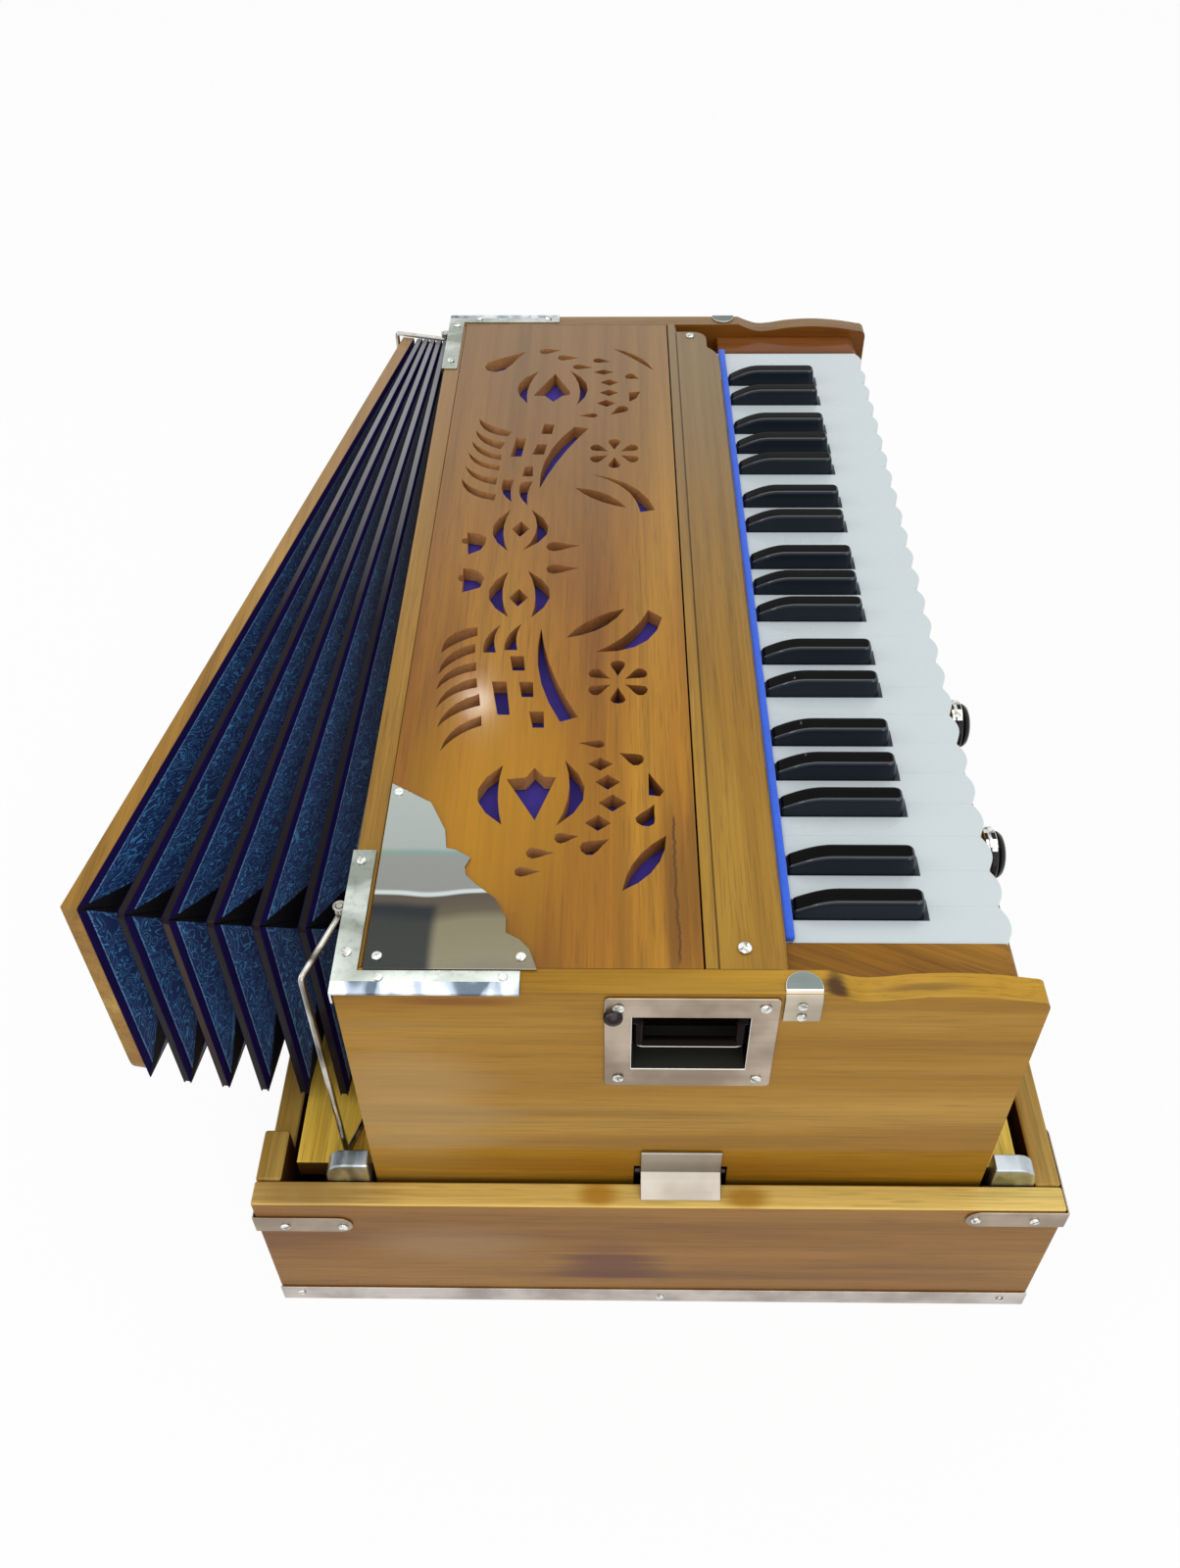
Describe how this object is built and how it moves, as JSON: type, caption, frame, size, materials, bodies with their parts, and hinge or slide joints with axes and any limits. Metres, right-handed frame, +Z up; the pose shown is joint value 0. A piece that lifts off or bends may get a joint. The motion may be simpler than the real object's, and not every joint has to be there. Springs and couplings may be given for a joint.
{
  "type": "indian harmonium",
  "caption": "Hand-pumped reed organ: fretted wooden case with keyboard and stops, fan bellows behind, standing raised on flaps in its shallow travel tray.",
  "frame": {"origin": "middle of the tray's underside", "axes": "+Z up; +X from the bellows to the player; +Y along the keyboard from bass to treble"},
  "size_m": [0.4565, 0.6151, 0.2509],
  "materials": {
    "teak": "gloss lacquer over straight grain",
    "fretted_teak": "gloss lacquer",
    "pale_wood": "clear lacquer",
    "inner_wood": "bare",
    "violet_cloth": "woven",
    "blue_felt": "felt",
    "white_key": "gloss",
    "black_key": "gloss",
    "bellows_cloth": "printed cloth",
    "rib_board": "taped board",
    "steel": "satin",
    "chrome": "polished",
    "black_metal": "gloss black",
    "brass": "satin",
    "black_knob": "gloss"
  },
  "bodies": {
    "tray": {"tray_near_wall": "teak", "tray_far_wall": "teak", "tray_left_wall": "teak", "tray_right_wall": "teak", "tray_floor": "pale_wood", "strap_near_left": "steel", "strap_near_right": "steel", "base_strip_near": "steel", "lug_near_left": "chrome", "lug_near_right": "chrome"},
    "case": {"base_board": "pale_wood", "near_cheek": "teak", "far_cheek": "teak", "back_board": "teak", "front_board": "teak", "key_frame": "inner_wood", "near_end_block": "teak", "far_end_block": "teak", "fret_panel": "fretted_teak", "fret_cloth": "violet_cloth", "cover_board": "teak", "key_felt": "blue_felt", "reed_board": "inner_wood", "reed_plate": "brass", "corner_bracket_near": "chrome", "corner_bracket_far": "chrome", "corner_plate": "chrome", "lid_clip_near": "steel", "lid_clip_far": "steel", "handle_cup_near": "steel", "handle_cup_far": "steel", "bellows_folds": "bellows_cloth"},
    "handle_near": {"handle_near": "black_metal"},
    "handle_far": {"handle_far": "black_metal"},
    "flap_near": {"flap_near": "steel"},
    "flap_far": {"flap_far": "steel"},
    "bail_near": {"bail_near": "chrome"},
    "bail_far": {"bail_far": "chrome"},
    "stop_1": {"stop_1": "black_knob"},
    "stop_2": {"stop_2": "black_knob"},
    "stop_3": {"stop_3": "black_knob"},
    "stop_4": {"stop_4": "black_knob"},
    "bellows_rib_1": {"bellows_rib_1": "rib_board"},
    "bellows_rib_2": {"bellows_rib_2": "rib_board"},
    "bellows_rib_3": {"bellows_rib_3": "rib_board"},
    "bellows_rib_4": {"bellows_rib_4": "rib_board"},
    "bellows_rib_5": {"bellows_rib_5": "rib_board"},
    "bellows_board": {"bellows_board": "teak"},
    "keys_c": {"keys_c": "white_key"},
    "keys_c_sharp": {"keys_c_sharp": "black_key"},
    "keys_d": {"keys_d": "white_key"},
    "keys_d_sharp": {"keys_d_sharp": "black_key"},
    "keys_e": {"keys_e": "white_key"},
    "keys_f": {"keys_f": "white_key"},
    "keys_f_sharp": {"keys_f_sharp": "black_key"},
    "keys_g": {"keys_g": "white_key"},
    "keys_g_sharp": {"keys_g_sharp": "black_key"},
    "keys_a": {"keys_a": "white_key"},
    "keys_a_sharp": {"keys_a_sharp": "black_key"},
    "keys_b": {"keys_b": "white_key"}
  },
  "joints": [
    {"name": "case_lift", "type": "slide", "parent": "tray", "child": "case", "axis": [0, 0, 1], "range_m": [0, 0.045]},
    {"name": "handle_near_turn", "type": "hinge", "parent": "case", "child": "handle_near", "pos_m": [0.0108, -0.2889, 0.2282], "axis": [-1, 0, 0], "range_deg": [0, 85]},
    {"name": "flap_near_turn", "type": "hinge", "parent": "case", "child": "flap_near", "pos_m": [0.0112, -0.289, 0.104], "axis": [1, 0, 0], "range_deg": [0, 180]},
    {"name": "handle_far_turn", "type": "hinge", "parent": "case", "child": "handle_far", "pos_m": [0.0108, 0.2889, 0.2282], "axis": [1, 0, 0], "range_deg": [0, 85]},
    {"name": "flap_far_turn", "type": "hinge", "parent": "case", "child": "flap_far", "pos_m": [0.0112, 0.289, 0.104], "axis": [-1, 0, 0], "range_deg": [0, 180]},
    {"name": "bail_near_turn", "type": "hinge", "parent": "case", "child": "bail_near", "pos_m": [-0.1382, -0.2465, 0.17], "axis": [0, 0, 1], "range_deg": [-48, 16]},
    {"name": "bail_far_turn", "type": "hinge", "parent": "case", "child": "bail_far", "pos_m": [-0.1382, 0.269, 0.17], "axis": [0, 0, -1], "range_deg": [0, 75]},
    {"name": "stop_1_pull", "type": "slide", "parent": "case", "child": "stop_1", "axis": [1, 0, 0], "range_m": [-0.012, 0]},
    {"name": "stop_2_pull", "type": "slide", "parent": "case", "child": "stop_2", "axis": [1, 0, 0], "range_m": [-0.012, 0]},
    {"name": "stop_3_pull", "type": "slide", "parent": "case", "child": "stop_3", "axis": [1, 0, 0], "range_m": [0, 0.012]},
    {"name": "stop_4_pull", "type": "slide", "parent": "case", "child": "stop_4", "axis": [1, 0, 0], "range_m": [0, 0.012]},
    {"name": "fold_1", "type": "hinge", "parent": "case", "child": "bellows_rib_1", "pos_m": [-0.1394, 0.277, 0.17], "axis": [0, 0, 1], "range_deg": [-0.67, 1.68], "deforming": ["bellows_folds"]},
    {"name": "fold_2", "type": "hinge", "parent": "bellows_rib_1", "child": "bellows_rib_2", "pos_m": [-0.144, 0.27714, 0.17], "axis": [0, 0, 1], "range_deg": [-0.67, 1.68], "deforming": ["bellows_folds"]},
    {"name": "fold_3", "type": "hinge", "parent": "bellows_rib_2", "child": "bellows_rib_3", "pos_m": [-0.14859, 0.2774, 0.17], "axis": [0, 0, 1], "range_deg": [-0.67, 1.68], "deforming": ["bellows_folds"]},
    {"name": "fold_4", "type": "hinge", "parent": "bellows_rib_3", "child": "bellows_rib_4", "pos_m": [-0.15317, 0.27781, 0.17], "axis": [0, 0, 1], "range_deg": [-0.67, 1.68], "deforming": ["bellows_folds"]},
    {"name": "fold_5", "type": "hinge", "parent": "bellows_rib_4", "child": "bellows_rib_5", "pos_m": [-0.15774, 0.27835, 0.17], "axis": [0, 0, 1], "range_deg": [-0.67, 1.68], "deforming": ["bellows_folds"]},
    {"name": "fold_6", "type": "hinge", "parent": "bellows_rib_5", "child": "bellows_board", "pos_m": [-0.16229, 0.27902, 0.17], "axis": [0, 0, 1], "range_deg": [-0.67, 1.68], "stiffness_Nm_per_rad": 600, "deforming": ["bellows_folds"]},
    {"name": "keys_c_press", "type": "hinge", "parent": "case", "child": "keys_c", "pos_m": [0.03, 0, 0.213], "axis": [0, 1, 0], "range_deg": [0, 3.8], "stiffness_Nm_per_rad": 0.7, "springref_deg": -22.92},
    {"name": "keys_c_sharp_press", "type": "hinge", "parent": "case", "child": "keys_c_sharp", "pos_m": [0.03, 0, 0.213], "axis": [0, 1, 0], "range_deg": [0, 3.8], "stiffness_Nm_per_rad": 0.7, "springref_deg": -22.92},
    {"name": "keys_d_press", "type": "hinge", "parent": "case", "child": "keys_d", "pos_m": [0.03, 0, 0.213], "axis": [0, 1, 0], "range_deg": [0, 3.8], "stiffness_Nm_per_rad": 0.7, "springref_deg": -22.92},
    {"name": "keys_d_sharp_press", "type": "hinge", "parent": "case", "child": "keys_d_sharp", "pos_m": [0.03, 0, 0.213], "axis": [0, 1, 0], "range_deg": [0, 3.8], "stiffness_Nm_per_rad": 0.7, "springref_deg": -22.92},
    {"name": "keys_e_press", "type": "hinge", "parent": "case", "child": "keys_e", "pos_m": [0.03, 0, 0.213], "axis": [0, 1, 0], "range_deg": [0, 3.8], "stiffness_Nm_per_rad": 0.7, "springref_deg": -22.92},
    {"name": "keys_f_press", "type": "hinge", "parent": "case", "child": "keys_f", "pos_m": [0.03, 0, 0.213], "axis": [0, 1, 0], "range_deg": [0, 3.8], "stiffness_Nm_per_rad": 0.7, "springref_deg": -22.92},
    {"name": "keys_f_sharp_press", "type": "hinge", "parent": "case", "child": "keys_f_sharp", "pos_m": [0.03, 0, 0.213], "axis": [0, 1, 0], "range_deg": [0, 3.8], "stiffness_Nm_per_rad": 0.7, "springref_deg": -22.92},
    {"name": "keys_g_press", "type": "hinge", "parent": "case", "child": "keys_g", "pos_m": [0.03, 0, 0.213], "axis": [0, 1, 0], "range_deg": [0, 3.8], "stiffness_Nm_per_rad": 0.7, "springref_deg": -22.92},
    {"name": "keys_g_sharp_press", "type": "hinge", "parent": "case", "child": "keys_g_sharp", "pos_m": [0.03, 0, 0.213], "axis": [0, 1, 0], "range_deg": [0, 3.8], "stiffness_Nm_per_rad": 0.7, "springref_deg": -22.92},
    {"name": "keys_a_press", "type": "hinge", "parent": "case", "child": "keys_a", "pos_m": [0.03, 0, 0.213], "axis": [0, 1, 0], "range_deg": [0, 3.8], "stiffness_Nm_per_rad": 0.7, "springref_deg": -22.92},
    {"name": "keys_a_sharp_press", "type": "hinge", "parent": "case", "child": "keys_a_sharp", "pos_m": [0.03, 0, 0.213], "axis": [0, 1, 0], "range_deg": [0, 3.8], "stiffness_Nm_per_rad": 0.7, "springref_deg": -22.92},
    {"name": "keys_b_press", "type": "hinge", "parent": "case", "child": "keys_b", "pos_m": [0.03, 0, 0.213], "axis": [0, 1, 0], "range_deg": [0, 3.8], "stiffness_Nm_per_rad": 0.7, "springref_deg": -22.92}
  ],
  "couplings": [
    {"joint": "flap_near_turn", "follows": "case_lift", "rad_per_m": 69.813},
    {"joint": "flap_far_turn", "follows": "case_lift", "rad_per_m": 69.813},
    {"joint": "fold_1", "follows": "fold_6", "ratio": 1},
    {"joint": "fold_2", "follows": "fold_6", "ratio": 1},
    {"joint": "fold_3", "follows": "fold_6", "ratio": 1},
    {"joint": "fold_4", "follows": "fold_6", "ratio": 1},
    {"joint": "fold_5", "follows": "fold_6", "ratio": 1}
  ]
}
